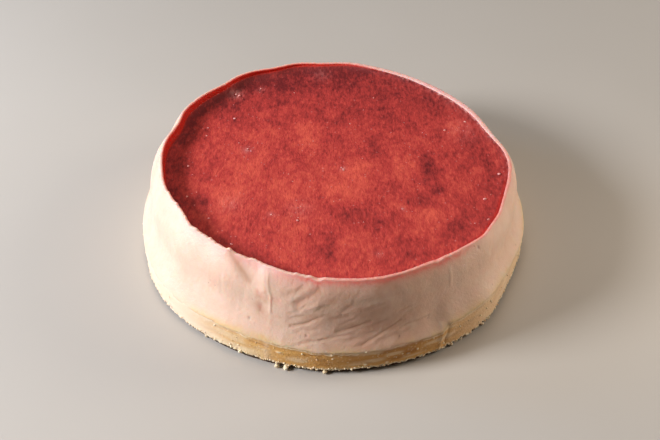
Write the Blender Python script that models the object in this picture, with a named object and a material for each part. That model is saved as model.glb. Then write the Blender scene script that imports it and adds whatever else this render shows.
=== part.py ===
"""A round, uncut cheesecake that was set cold: biscuit base, cream filling, fruit layer.

Metres, +Z up. The origin is the centre of the base's underside, and -Y is the front.
An azimuth is in degrees, anticlockwise from +X seen from above, so the front is at 270.
The cake was set in a round tin lined with film. The film left creases in the cream, and it
left a thin standing lip round the fruit layer, higher at the left than at the right.
"""

import math

import bmesh
import bpy
import numpy as np

MM = 0.001

# The whole cake
SEGMENTS = 200
GAP = 0.3 * MM
SEED = 8
SHARP_ANGLE = math.radians(40)

# The biscuit base
CRUST_RADIUS = 104.2 * MM
CRUST_HEIGHT = 15.0 * MM
CRUST_SHOULDER = 0.7 * MM
CRUST_INNER_SHARE = 0.86
STRATA_DEPTH = 0.3 * MM

# Its side draws in towards the foot: height as a share of the whole, and how far in
CRUST_SIDE = ((0.25, 0.4 * MM), (0.42, 0.1 * MM), (0.66, 0.0), (0.88, 0.0))
EDGE_HEIGHT = 1.3 * MM
EDGE_INSET = 0.8 * MM
EDGE_ROUGHNESS = 0.35 * MM
FOOT_INSET = 1.2 * MM

# Where the biscuit stands out (plus) or in: azimuth, half width, push
CRUST_FOLDS = (
    (4, 18, -2.3 * MM), (212, 14, 1.7 * MM), (316, 6, 0.7 * MM), (333, 11, -2.6 * MM),
)

# Where the line between the biscuit and the cream rises (plus) or dips
CRUST_TOP_FOLDS = (
    (20, 14, 0.8 * MM),
    (60, 12, -0.7 * MM),
    (100, 10, 0.9 * MM),
    (140, 14, -0.6 * MM),
    (175, 10, 0.8 * MM),
    (208, 9, 0.5 * MM),
    (243, 10, 1.6 * MM),
    (258, 5, 0.8 * MM),
    (281, 14, -0.8 * MM),
    (298, 2.5, -1.6 * MM),
    (302, 3, 1.2 * MM),
    (315, 11, 4.0 * MM),
    (330, 9, 1.2 * MM),
)

# Crumbs pressed to the foot of the base: azimuth, radius of the crumb, how far its middle
# stands out of the edge. An outer crumb sticks to one behind it.
FOOT_CRUMBS = (
    (254.2, 1.0 * MM, 0.25 * MM),
    (254.2, 1.1 * MM, 1.35 * MM),
    (256.7, 1.1 * MM, 0.25 * MM),
    (256.7, 1.25 * MM, 1.5 * MM),
    (267.0, 0.95 * MM, 0.25 * MM),
    (267.0, 1.15 * MM, 1.3 * MM),
    (302.7, 1.0 * MM, 0.3 * MM),
    (306.2, 0.8 * MM, 0.2 * MM),
    (314.7, 0.9 * MM, 0.25 * MM),
    (317.5, 1.0 * MM, 0.3 * MM),
    (232.0, 0.8 * MM, 0.15 * MM),
    (3.0, 1.2 * MM, 0.4 * MM),
    (74.0, 1.2 * MM, 0.4 * MM),
    (131.0, 0.9 * MM, 0.25 * MM),
    (158.0, 1.0 * MM, 0.3 * MM),
    (204.0, 0.9 * MM, 0.25 * MM),
)

# The height of a crumb's middle, as a share of its radius
CRUMB_LIFT = 1.12

# The rim of the cream
RIM_RADIUS = 90.1 * MM
RIM_HEIGHT = 49.0 * MM
RIM_SLOPE_X = -0.0496
RIM_SLOPE_Y = -0.0059
LIP_THIN = 1.3 * MM
LIP_THICK = 2.8 * MM
LIP_THICK_AZIMUTH = 50
LIP_THICK_SPREAD = 32
LIP_ROUNDING = 0.45 * MM

# Where the film's folds pushed the rim out (plus) or in: azimuth, half width, push
RIM_FOLDS = (
    (2, 10, 2.4 * MM),
    (21, 6, -0.9 * MM),
    (48, 8, -0.4 * MM),
    (84, 7, 1.0 * MM),
    (94, 5, -0.8 * MM),
    (105, 5, 0.9 * MM),
    (113, 5, -0.9 * MM),
    (126, 8, 1.3 * MM),
    (136, 4, -1.2 * MM),
    (155, 8, 0.8 * MM),
    (167, 5, -1.4 * MM),
    (221, 6, 1.0 * MM),
    (245, 5, -1.5 * MM),
    (279, 8, 0.5 * MM),
    (300, 7, -1.4 * MM),
    (14, 5, -0.7 * MM),
    (321.5, 4.5, 1.5 * MM),
    (332, 5, 1.0 * MM),
    (163, 4, -0.8 * MM),
    (181, 8, 0.7 * MM),
    (198, 6, 0.7 * MM),
    (212, 5, -1.0 * MM),
    (227, 5, -0.7 * MM),
)

# Peaks (plus) and nicks in the rim: azimuth, half width, height
RIM_PEAKS = (
    (236.3, 1.3, 1.7 * MM),
    (264.6, 1.6, -0.8 * MM),
    (302.4, 1.6, -0.6 * MM),
    (222.5, 1.6, 0.9 * MM),
    (209.0, 1.8, 0.8 * MM),
)

# The side of the cream leans in from the biscuit to the rim. It is hollow above the biscuit
# and full below the rim, more so at its left and right than in front.
SHOULDER = 1.2 * MM
SHOULDER_LEFT = 0.8 * MM
SHOULDER_RIGHT = 0.6 * MM
BELLY_LEFT = 0.3 * MM
BELLY_RIGHT = -1.0 * MM
LEFT = 195
RIGHT = 345

# Creases in the side, in millimetres: half width, depth (minus is a ridge), then the azimuth
# and height of each point on its line
SIDE_CREASES = (
    (9.0, -0.5, ((265.0, 44.0), (266.0, 3.0))),
    (1.8, 0.7, ((236.4, 52.5), (238.2, 50.2), (241.4, 47.0), (244.8, 42.8))),
    (2.8, -0.6, ((249.0, 49.5), (249.9, 42.5))),
    (0.9, -0.2, ((249.9, 51.0), (250.6, 45.2), (251.7, 39.4), (251.6, 16.5), (251.1, 3.0))),
    (2.3, 0.4, ((248.8, 31.5), (249.0, 29.0))),
    (2.0, 0.25, ((248.2, 38.8), (249.2, 38.4))),
    (1.6, 0.2, ((252.8, 37.2), (254.0, 37.6))),
    (1.9, 0.55, ((259.3, 38.2), (265.1, 45.3))),
    (1.3, 0.25, ((255.8, 41.7), (260.3, 45.7))),
    (1.3, -0.25, ((261.1, 35.0), (264.9, 38.5))),
    (1.0, 0.45, ((257.5, 25.1), (261.5, 27.6), (265.3, 31.4))),
    (0.9, 0.3, ((262.4, 19.4), (271.2, 21.4), (274.9, 21.9))),
    (1.1, 0.45, ((270.0, 23.3), (274.0, 25.0), (279.0, 28.4))),
    (0.9, 0.35, ((276.6, 17.0), (280.4, 20.2), (287.7, 25.4))),
    (1.4, 0.25, ((277.0, 34.7), (283.2, 36.6))),
    (2.0, 0.3, ((272.5, 37.2), (279.1, 38.9), (288.6, 39.2))),
    (4.5, 0.3, ((290.0, 30.0), (287.0, 40.0))),
    (1.1, -0.5, ((299.3, 18.0), (298.6, 4.0))),
    (1.0, 0.6, ((301.2, 17.0), (300.4, 5.0))),
    (0.9, -0.25, ((304.9, 41.5), (304.3, 34.0))),
)

# A crease is at least this wide here, so that it isn't lost between two rows of points
CREASE_LEAST = 1.3

# The hidden sides carry creases of the same kind, drawn by rule: how many, the azimuth
# that they start from and the angle that they cover, then the range of each size
HIDDEN_CREASES = 22
HIDDEN_FROM = 318
HIDDEN_SPAN = 222
HIDDEN_LOW = (18, 38)
HIDDEN_SWEEP = (3, 9)
HIDDEN_RISE = (2, 8)
HIDDEN_WIDTH = (1.1, 2.6)
HIDDEN_DEPTHS = (0.5, 0.35, 0.25, -0.3)

# Creases fade where the side meets the lip: the share of their depth that is left there,
# and how fast it grows below
CREASE_AT_LIP = 0.3
CREASE_GROWTH = 6

# The fruit layer, which tilts a little with the rim
FRUIT_TOP = 45.0 * MM
FRUIT_DEPTH = 3.6 * MM
FRUIT_SLOPE_X = -0.012
FRUIT_SLOPE_Y = 0.004
FRUIT_SEGMENTS = 100
FRUIT_RINGS = (0.93, 0.72, 0.45)
FRUIT_SWELL = 0.25 * MM

# The layer's edge climbs the lip, most of all at the back left: how far, over what width
EDGE_CLIMB = 0.6 * MM
EDGE_CLIMB_MORE = 2.0 * MM
EDGE_CLIMB_WIDTH = 0.8 * MM
EDGE_CLIMB_WIDER = 2.2 * MM
CLIMB_AT = 122
CLIMB_SPREAD = 58
EDGE_ROWS = (1.2 * MM, 4.0 * MM)

# Heights of the rows on the cream's side, as a share of the way up to the lip
SIDE_ROWS = 16


def bump(distance, half_width):
    """A smooth hill of height 1 that falls to half its height at half_width."""
    return 0.5 ** ((distance / half_width) ** 2)


def turn(azimuth, centre):
    """The signed angle from centre to azimuth, in degrees, between -180 and 180."""
    return (azimuth - centre + 180) % 360 - 180


def on_circle(azimuth, radius, height):
    angle = math.radians(azimuth)
    return (radius * math.cos(angle), radius * math.sin(angle), height)


def pushed(size, folds, azimuth):
    """The size with its folds, each a smooth push of that size at its azimuth."""
    return size + sum(push * bump(turn(azimuth, at), width) for at, width, push in folds)


def crust_radius(azimuth):
    return pushed(CRUST_RADIUS, CRUST_FOLDS, azimuth)


def crust_top(azimuth):
    """Height of the line where the biscuit meets the cream."""
    return pushed(CRUST_HEIGHT, CRUST_TOP_FOLDS, azimuth)


def rim_radius(azimuth):
    return pushed(RIM_RADIUS, RIM_FOLDS, azimuth)


def calm_rim(azimuth):
    """The rim's height without its peaks and nicks: it leans with the whole cake."""
    x, y, _ = on_circle(azimuth, RIM_RADIUS, 0)
    return RIM_HEIGHT + RIM_SLOPE_X * x + RIM_SLOPE_Y * y


def rim_height(azimuth):
    peaks = sum(size * bump(turn(azimuth, at), width) for at, width, size in RIM_PEAKS)
    return calm_rim(azimuth) + peaks


def lip_width(azimuth):
    """The lip is thin all round, and thick only at the back right."""
    share = bump(turn(azimuth, LIP_THICK_AZIMUTH), LIP_THICK_SPREAD)
    return LIP_THIN + (LIP_THICK - LIP_THIN) * share


def hidden_creases():
    """Creases on the sides that face away, of the same sizes as those in front."""
    draw = np.random.default_rng(SEED)
    creases = []
    for index in range(HIDDEN_CREASES):
        azimuth = HIDDEN_FROM + HIDDEN_SPAN * (index + draw.uniform(0.1, 0.9)) / HIDDEN_CREASES
        low = draw.uniform(*HIDDEN_LOW)
        sweep = draw.uniform(*HIDDEN_SWEEP)
        rise = draw.uniform(*HIDDEN_RISE)
        width = draw.uniform(*HIDDEN_WIDTH)
        depth = draw.choice(HIDDEN_DEPTHS)
        line = ((azimuth, low), (azimuth + sweep, low + rise))
        creases.append((width, depth, line))
    return creases


CREASES = [*SIDE_CREASES, *hidden_creases()]


def distance_to(line, azimuth, height):
    """How far a place on the side is from a line on it, in millimetres."""
    arc = math.radians(1) * CRUST_RADIUS / MM
    nearest = math.inf
    for (start, low), (end, high) in zip(line, line[1:]):
        run = turn(end, start) * arc
        rise = high - low
        along = turn(azimuth, start) * arc
        up = height / MM - low
        share = (along * run + up * rise) / (run * run + rise * rise)
        share = min(max(share, 0.0), 1.0)
        nearest = min(nearest, math.hypot(along - share * run, up - share * rise))
    return nearest


def crease_depth(azimuth, height):
    """How far the side is pressed in here by the film's creases."""
    depth = 0.0
    for width, size, line in CREASES:
        distance = distance_to(line, azimuth, height)
        depth += size * MM * bump(distance, max(width, CREASE_LEAST))
    return depth


def facing(azimuth, centre):
    """1 where the side faces the centre azimuth, falling to 0 a quarter turn away."""
    return max(0.0, math.cos(math.radians(azimuth - centre)))


def side_radius(azimuth, height):
    """Radius of the cream's side."""
    left = facing(azimuth, LEFT)
    right = facing(azimuth, RIGHT)
    low = crust_top(azimuth)
    high = calm_rim(azimuth)
    share = min(max((height - low) / (high - low), 0.0), 1.0)
    lean = crust_radius(azimuth) * (1 - share) + rim_radius(azimuth) * share
    belly = (BELLY_LEFT * left + BELLY_RIGHT * right) * math.sin(math.pi * share)
    shoulder = SHOULDER + SHOULDER_LEFT * left + SHOULDER_RIGHT * right
    full = belly - shoulder * math.sin(2 * math.pi * share)
    fade = min(1.0, CREASE_GROWTH * (1 - share) + CREASE_AT_LIP)
    return lean + full - fade * crease_depth(azimuth, height)


def fruit_height(x, y):
    return FRUIT_TOP + FRUIT_SLOPE_X * x + FRUIT_SLOPE_Y * y


def hollow_radius(azimuth):
    """Radius of the upright inner face of the lip."""
    return rim_radius(azimuth) - lip_width(azimuth)


def ring(points_at, count=SEGMENTS):
    """One closed ring of points, from a function of the azimuth."""
    return [points_at(360 * index / count) for index in range(count)]


def loft(name, rings, bottom, top, material):
    """A closed solid through the rings, lowest middle first, capped at bottom and top."""
    mesh = bpy.data.meshes.new(name)
    shape = bmesh.new()
    rows = [[shape.verts.new(point) for point in points] for points in rings]
    count = len(rows[0])
    for lower, upper in zip(rows, rows[1:]):
        for i in range(count):
            j = (i + 1) % count
            shape.faces.new((lower[i], lower[j], upper[j], upper[i]))
    first = shape.verts.new(bottom)
    last = shape.verts.new(top)
    for i in range(count):
        j = (i + 1) % count
        shape.faces.new((first, rows[0][j], rows[0][i]))
        shape.faces.new((last, rows[-1][i], rows[-1][j]))
    bmesh.ops.triangulate(shape, faces=shape.faces[:])
    bmesh.ops.recalc_face_normals(shape, faces=shape.faces[:])
    shape.to_mesh(mesh)
    shape.free()
    mesh.shade_smooth()
    mesh.set_sharp_from_angle(angle=SHARP_ANGLE)
    mesh.materials.append(material)
    item = bpy.data.objects.new(name, mesh)
    bpy.context.collection.objects.link(item)
    return item


def plain_material(name, colour, roughness):
    material = bpy.data.materials.new(name)
    material.use_nodes = True
    shader = material.node_tree.nodes["Principled BSDF"]
    shader.inputs["Base Color"].default_value = (*colour, 1)
    shader.inputs["Roughness"].default_value = roughness
    shader.inputs["Metallic"].default_value = 0
    return material


def crumb(name, centre, radius, draw):
    """A lumpy twenty-sided crumb."""
    mesh = bpy.data.meshes.new(name)
    shape = bmesh.new()
    bmesh.ops.create_icosphere(shape, subdivisions=1, radius=radius)
    for vert in shape.verts:
        vert.co *= draw.uniform(0.8, 1.1)
        vert.co += type(vert.co)(centre)
    shape.to_mesh(mesh)
    shape.free()
    return bpy.data.objects.new(name, mesh)


def fuse_crumbs(base):
    """Join the crumbs at the foot to the base by one union."""
    draw = np.random.default_rng(SEED + 1)
    heap = bpy.data.collections.new("foot_crumbs")
    bpy.context.scene.collection.children.link(heap)
    for index, (azimuth, radius, out) in enumerate(FOOT_CRUMBS):
        reach = crust_radius(azimuth) - EDGE_INSET + out
        centre = on_circle(azimuth, reach, radius * CRUMB_LIFT)
        heap.objects.link(crumb(f"crumb_{index}", centre, radius, draw))
    union = base.modifiers.new("crumbs", "BOOLEAN")
    union.operation = "UNION"
    union.operand_type = "COLLECTION"
    union.collection = heap
    bpy.context.view_layer.objects.active = base
    bpy.ops.object.modifier_apply(modifier=union.name)
    for item in list(heap.objects):
        bpy.data.objects.remove(item, do_unlink=True)
    bpy.data.collections.remove(heap)


def biscuit_base():
    """The pressed biscuit disc, with a crumbly lower edge that stands clear of the foot."""
    draw = np.random.default_rng(SEED + 2)
    rough = draw.uniform((0, -1), (1, 1), (SEGMENTS, 2)) * EDGE_ROUGHNESS
    steps = draw.uniform(-1, 1, len(CRUST_SIDE)) * STRATA_DEPTH

    def foot(azimuth):
        return on_circle(azimuth, crust_radius(azimuth) - FOOT_INSET, 0)

    def edge(azimuth):
        out, up = rough[round(azimuth * SEGMENTS / 360) % SEGMENTS]
        return on_circle(azimuth, crust_radius(azimuth) - EDGE_INSET + out, EDGE_HEIGHT + up)

    def stratum(share, inset):
        def point(azimuth):
            height = crust_top(azimuth) * share
            radius = crust_radius(azimuth) - inset - crease_depth(azimuth, height)
            return on_circle(azimuth, radius, height)

        return point

    def shoulder(azimuth):
        radius = crust_radius(azimuth) - CRUST_SHOULDER
        return on_circle(azimuth, radius, crust_top(azimuth))

    def inner(azimuth):
        return on_circle(azimuth, CRUST_RADIUS * CRUST_INNER_SHARE, CRUST_HEIGHT)

    rows = [foot, edge]
    rows += [stratum(share, inset + step) for (share, inset), step in zip(CRUST_SIDE, steps)]
    rows += [shoulder, inner]
    material = plain_material("biscuit", (0.62, 0.41, 0.19), 0.85)
    rings = [ring(row) for row in rows]
    base = loft("biscuit_base", rings, (0, 0, 0), (0, 0, CRUST_HEIGHT), material)
    fuse_crumbs(base)
    return base


def cream_filling():
    """The cream: a leaning, creased side, a thin lip, and a shallow hollow for the fruit."""
    floor = FRUIT_TOP - FRUIT_DEPTH

    def under(azimuth):
        return on_circle(azimuth, CRUST_RADIUS * CRUST_INNER_SHARE, CRUST_HEIGHT + GAP)

    def low_edge(azimuth):
        height = crust_top(azimuth) + GAP
        return on_circle(azimuth, crust_radius(azimuth) - CRUST_SHOULDER, height)

    def side(share):
        def point(azimuth):
            low = crust_top(azimuth) + GAP + CRUST_SHOULDER
            high = rim_height(azimuth) - LIP_ROUNDING
            height = low + (high - low) * share
            return on_circle(azimuth, side_radius(azimuth, height), height)

        return point

    def crest(azimuth):
        middle = rim_radius(azimuth) - lip_width(azimuth) / 2
        return on_circle(azimuth, middle, rim_height(azimuth))

    def inner_edge(azimuth):
        return on_circle(azimuth, hollow_radius(azimuth), rim_height(azimuth) - LIP_ROUNDING)

    def hollow_foot(azimuth):
        x, y, _ = on_circle(azimuth, hollow_radius(azimuth), 0)
        return (x, y, fruit_height(x, y) - FRUIT_DEPTH)

    rows = [under, low_edge]
    rows += [side(index / (SIDE_ROWS - 1)) for index in range(SIDE_ROWS)]
    rows += [crest, inner_edge, hollow_foot]
    material = plain_material("cream", (0.83, 0.66, 0.54), 0.45)
    rings = [ring(row) for row in rows]
    return loft(
        "cream_filling", rings, (0, 0, CRUST_HEIGHT + GAP), (0, 0, floor), material
    )


def fruit_layer():
    """The set fruit layer, nearly level, its edge climbing a little where it meets the lip."""

    def foot(azimuth):
        x, y, _ = on_circle(azimuth, hollow_radius(azimuth) - GAP, 0)
        return (x, y, fruit_height(x, y) - FRUIT_DEPTH + GAP)

    def near_edge(gap):
        def point(azimuth):
            more = bump(turn(azimuth, CLIMB_AT), CLIMB_SPREAD)
            size = EDGE_CLIMB + EDGE_CLIMB_MORE * more
            width = EDGE_CLIMB_WIDTH + EDGE_CLIMB_WIDER * more
            x, y, _ = on_circle(azimuth, hollow_radius(azimuth) - GAP - gap, 0)
            top = fruit_height(x, y) + size * math.exp(-gap / width)
            return (x, y, min(top, rim_height(azimuth) - LIP_ROUNDING - 0.2 * MM))

        return point

    def inside(share):
        def point(azimuth):
            x, y, _ = on_circle(azimuth, RIM_RADIUS * share, 0)
            swell = math.sin(math.radians(3 * azimuth + 300 * share))
            return (x, y, fruit_height(x, y) + FRUIT_SWELL * swell)

        return point

    rows = [foot, near_edge(0)]
    rows += [near_edge(gap) for gap in EDGE_ROWS]
    rows += [inside(share) for share in FRUIT_RINGS]
    material = plain_material("fruit", (0.5, 0.06, 0.045), 0.5)
    rings = [ring(row, FRUIT_SEGMENTS) for row in rows]
    bottom = (0, 0, FRUIT_TOP - FRUIT_DEPTH + GAP)
    return loft("fruit_layer", rings, bottom, (0, 0, FRUIT_TOP), material)


def main():
    for item in list(bpy.data.objects):
        bpy.data.objects.remove(item, do_unlink=True)
    biscuit_base()
    cream_filling()
    fruit_layer()


main()
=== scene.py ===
import itertools
import math

import bmesh
import bpy
import numpy as np
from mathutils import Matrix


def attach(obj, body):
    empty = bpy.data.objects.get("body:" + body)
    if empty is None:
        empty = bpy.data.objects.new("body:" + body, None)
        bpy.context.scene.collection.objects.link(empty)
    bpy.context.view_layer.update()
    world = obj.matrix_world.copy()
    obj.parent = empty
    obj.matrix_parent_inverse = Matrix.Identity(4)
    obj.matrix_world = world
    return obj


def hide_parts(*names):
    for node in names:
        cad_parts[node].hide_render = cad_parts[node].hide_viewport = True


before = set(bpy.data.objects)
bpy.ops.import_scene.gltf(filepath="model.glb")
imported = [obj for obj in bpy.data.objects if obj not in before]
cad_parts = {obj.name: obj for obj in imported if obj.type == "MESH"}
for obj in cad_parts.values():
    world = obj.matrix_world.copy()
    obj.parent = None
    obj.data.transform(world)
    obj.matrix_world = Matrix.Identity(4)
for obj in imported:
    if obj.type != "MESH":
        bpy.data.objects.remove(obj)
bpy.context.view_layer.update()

# Sizes are in millimetres and azimuths in degrees, anticlockwise from +X seen from above,
# so the front is at 270. The mesh builders turn millimetres into metres.
MM = 0.001

# The biscuit base
CRUST_RADIUS = 104.2
CRUST_HEIGHT = 15.0
CRUST_INNER = 0.86 * CRUST_RADIUS
CRUST_FOLDS = ((4, 18, -2.3), (212, 14, 1.7), (316, 6, 0.7), (333, 11, -2.6))
CRUST_TOP_FOLDS = (
    (20, 14, 0.8), (60, 12, -0.7), (100, 10, 0.9), (140, 14, -0.6), (175, 10, 0.8),
    (208, 9, 0.5), (243, 10, 1.6), (258, 5, 0.8), (281, 14, -0.8), (298, 2.5, -1.6),
    (302, 3, 1.2), (315, 11, 4.0), (330, 9, 1.2),
)
CRUST_PROFILE_HEIGHTS = (0.0, 1.7, 3.7, 6.3, 9.9, 13.2, 20.0)
CRUST_PROFILE_INSETS = (0.5, 0.25, 0.15, 0.05, 0.0, 0.0, 0.1)
EDGE_BREAK = 1.7
EDGE_CLEAR = ((277, 18, 0.45), (243, 15, 0.7))
EDGE_WANDER = 0.3
EDGE_ROUGH = (312, 15, 0.8)
UNDERCUT = 0.55
SEAM_WANDER = 0.45
SEAM_GAP = -0.15
LEDGE = 1.6
CREAMY_SEAM = (1.6, 1.0, ((251.5, 17.0), (251.3, 3.0)))

# Pale lumps that show on the biscuit: azimuth, height, how wide to its height, half height
PALE_LUMPS = (
    (254.9, 10.9, 2.2, 0.5), (277.6, 5.0, 1.0, 0.7), (283.3, 4.4, 1.0, 0.6),
    (268.9, 13.3, 1.2, 0.5), (36.0, 7.0, 1.5, 0.6), (118.0, 9.0, 1.5, 0.6), (152.0, 5.0, 1.0, 0.7),
)

# Crumbs at the foot: azimuth, radius, how far out
FOOT_CRUMBS = (
    (254.2, 1.0, 0.25), (254.2, 1.1, 1.35), (256.7, 1.1, 0.25), (256.7, 1.25, 1.5),
    (267.0, 0.95, 0.25), (267.0, 1.15, 1.3), (302.7, 1.0, 0.3), (306.2, 0.8, 0.2),
    (314.7, 0.9, 0.25), (317.5, 1.0, 0.3), (232.0, 0.8, 0.15), (3.0, 1.2, 0.4),
    (74.0, 1.2, 0.4), (131.0, 0.9, 0.25), (158.0, 1.0, 0.3), (204.0, 0.9, 0.25),
)
EDGE_INSET = 0.8
FOOT_CRUMB_SEED = 91

# Loose grains
GRAINS_PER_SQUARE_METRE = 6.5e5
GRAIN_SIZES = (0.22, 0.62)
GRAIN_SEED = 5

# The rim of the cream
RIM_RADIUS = 90.1
RIM_HEIGHT = 49.0
RIM_SLOPE_X = -0.0496
RIM_SLOPE_Y = -0.0059
LIP_THIN = 1.3
LIP_THICK = 2.8
LIP_THICK_AZIMUTH = 50
LIP_THICK_SPREAD = 32
LIP_ROUNDING = 0.45
RIM_FOLDS = (
    (2, 10, 2.4), (21, 6, -0.9), (48, 8, -0.4), (84, 7, 1.0), (94, 5, -0.8), (105, 5, 0.9),
    (113, 5, -0.9), (126, 8, 1.3), (136, 4, -1.2), (155, 8, 0.8), (167, 5, -1.4),
    (221, 6, 1.0), (245, 5, -1.5), (279, 8, 0.5), (300, 7, -1.4), (14, 5, -0.7),
    (321.5, 4.5, 1.5), (332, 5, 1.0), (163, 4, -0.8), (181, 8, 0.7), (198, 6, 0.7),
    (212, 5, -1.0), (227, 5, -0.7),
)
RIM_PEAKS = (
    (236.3, 0.9, 2.0), (264.6, 1.3, -0.8), (302.4, 1.4, -0.6), (222.5, 0.8, 1.1),
    (209.0, 0.8, 1.0), (228.6, 0.7, 0.8), (216.0, 0.7, 0.9), (258.6, 0.7, 0.5),
    (203.0, 0.7, 0.7), (262.4, 0.6, 0.5), (232.4, 0.8, 0.5), (244.0, 1.0, 0.4),
)

# The rim is torn finely where the film was pulled off it: centre, half width, height
RIM_TORN = (226, 26, 0.6)
RIM_UNEVEN = 0.12

# The side of the cream
SHOULDER = (1.2, 0.8, 0.6)
BELLY = (0.3, -1.0)
LEFT = 195
RIGHT = 345
SIDE_CREASES = (
    (9.0, -0.5, ((265.0, 44.0), (266.0, 3.0))),
    (2.6, 0.3, ((236.4, 52.5), (238.2, 50.2), (241.4, 47.0), (243.8, 44.2))),
    (2.8, -0.6, ((249.0, 49.5), (249.9, 42.5))),
    (0.5, -0.35, ((249.9, 51.0), (250.6, 45.2), (251.7, 39.4), (251.6, 30.0))),
    (1.6, -0.1, ((251.7, 32.0), (251.6, 16.5), (251.1, 3.0))),
    (2.3, 0.4, ((248.8, 31.5), (249.0, 29.0))),
    (2.0, 0.25, ((248.2, 38.8), (249.2, 38.4))),
    (1.6, 0.2, ((252.8, 37.2), (254.0, 37.6))),
    (1.9, 0.55, ((259.3, 38.2), (265.1, 45.3))),
    (1.3, 0.25, ((255.8, 41.7), (260.3, 45.7))),
    (1.3, -0.25, ((261.1, 35.0), (264.9, 38.5))),
    (0.9, 0.25, ((265.4, 36.0), (267.8, 38.2))),
    (0.8, 0.42, ((257.5, 25.1), (261.5, 27.6), (265.3, 31.4))),
    (0.8, 0.2, ((258.9, 16.8), (261.5, 18.7))),
    (0.6, 0.28, ((262.4, 19.4), (271.2, 21.4), (274.9, 21.9))),
    (0.6, 0.25, ((272.5, 18.8), (277.3, 20.4))),
    (0.8, 0.42, ((270.0, 23.3), (274.0, 25.0), (279.0, 28.4))),
    (0.6, 0.34, ((276.6, 17.0), (280.4, 20.2), (287.7, 25.4))),
    (0.5, 0.28, ((287.3, 21.4), (292.3, 22.6), (296.5, 22.9))),
    (1.4, 0.25, ((277.0, 34.7), (283.2, 36.6))),
    (2.0, 0.3, ((272.5, 37.2), (279.1, 38.9), (288.6, 39.2))),
    (4.5, 0.3, ((290.0, 30.0), (287.0, 40.0))),
    (1.1, -0.5, ((299.3, 18.0), (298.6, 4.0))),
    (1.0, 0.6, ((301.2, 17.0), (300.4, 5.0))),
    (0.9, -0.25, ((304.9, 41.5), (304.3, 34.0))),
)
CREASE_AT_LIP = 0.3
CREASE_GROWTH = 6

# Fine relief: how wide, how high, which pattern
CREAM_RELIEF = ((11, 0.16, 61), (4.2, 0.05, 62), (1.6, 0.015, 63))
FRUIT_RELIEF = ((9, 0.16, 101), (3, 0.07, 102), (1.4, 0.05, 103))

# Creases of the same kind on the hidden sides, drawn by rule
HIDDEN_SEED = 8
HIDDEN_CREASES = 22
HIDDEN_FROM = 318
HIDDEN_SPAN = 222
HIDDEN_DEPTHS = (0.5, 0.35, 0.25, -0.3)
HIDDEN_HEIGHTS = (18, 38)
HIDDEN_SWEEPS = (3, 9)
HIDDEN_RISES = (2, 8)
HIDDEN_WIDTHS = (1.1, 2.6)

WRINKLE_SEED = 17

# Fine film wrinkles: how many, azimuths, heights, lengths, tilts, half widths, depths
WRINKLES = (
    (46, (256, 292), (16, 31), (4, 12), (6, 26), (0.4, 0.9), (0.06, 0.19)),
    (18, (252, 276), (29, 46), (3, 9), (25, 55), (0.5, 1.1), (0.05, 0.15)),
    (34, (286, 338), (16, 42), (3, 10), (4, 36), (0.4, 0.9), (0.02, 0.07)),
    (26, (192, 250), (16, 46), (5, 14), (62, 100), (0.6, 1.3), (0.02, 0.05)),
    (170, (338, 542), (16, 46), (3, 14), (8, 100), (0.4, 1.1), (0.04, 0.2)),
)

# Upright streaks that the film's folds left: azimuth, low, high, half width, height
STREAKS = (
    (205.4, 22, 49, 0.7, 0.04), (222.0, 20, 50, 0.6, 0.04), (231.4, 26, 48, 0.7, 0.04),
    (241.9, 17, 34, 0.6, 0.04), (255.9, 17, 45, 0.8, 0.04), (262.0, 36, 47, 0.7, 0.04),
    (267.5, 34, 46, 0.6, 0.06), (289.2, 17, 44, 0.7, 0.04), (304.4, 35, 43, 0.5, 0.07),
    (316.0, 20, 41, 0.4, 0.04), (20.0, 18, 42, 0.5, 0.07), (63.0, 22, 44, 0.4, 0.06),
    (98.0, 18, 46, 0.5, 0.07), (142.0, 20, 48, 0.5, 0.06), (171.0, 18, 50, 0.4, 0.07),
)

# Small pits in the cream: azimuth, height, radius
PITS = (
    (245.7, 23.7, 0.8), (317.0, 43.4, 0.9), (262.0, 21.5, 0.7), (287.0, 18.0, 0.6),
    (260.6, 24.6, 0.3), (296.0, 21.6, 0.5), (271.3, 33.0, 0.4), (234.0, 33.5, 0.4),
)
HIDDEN_PITS = 16
PIT_SEED = 23
PIT_DEPTH = 0.45

# Thin brown lines and cracks near the seam
SEAM_LINES = (
    ((231.5, 14.9), (233.6, 15.4), (235.8, 16.4)), ((239.0, 15.2), (241.5, 15.3), (243.9, 15.9)),
    ((265.0, 13.5), (267.6, 13.9), (271.8, 12.9)), ((284.5, 14.6), (287.0, 14.9), (290.0, 14.3)),
    ((262.0, 12.3), (264.5, 12.6), (266.4, 12.2)), ((247.0, 14.0), (250.4, 13.4), (252.0, 12.9)),
)

CRACK_DEPTH = 0.25

# Painted shade in the dents and on the shaded side of the pleat in the cream: reach, strength, line
PAINTED_CREASE_SHADE = (
    (2.0, 0.8, ((237.0, 51.8), (239.0, 49.6), (242.0, 46.4), (244.6, 43.4))),
    (2.3, 0.55, ((259.3, 38.6), (265.1, 45.3))), (1.6, 0.4, ((255.8, 41.7), (260.3, 45.7))),
    (1.4, 0.4, ((265.4, 36.0), (267.8, 38.2))), (2.6, 0.5, ((248.2, 31.6), (249.2, 29.0))),
    (2.0, 0.3, ((247.5, 37.0), (250.3, 36.6))), (1.8, 0.35, ((268.5, 40.5), (274.0, 43.6))),
    (2.2, 0.3, ((262.0, 30.5), (268.0, 33.5))), (2.0, 0.28, ((278.0, 31.5), (284.0, 34.5))),
)

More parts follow.
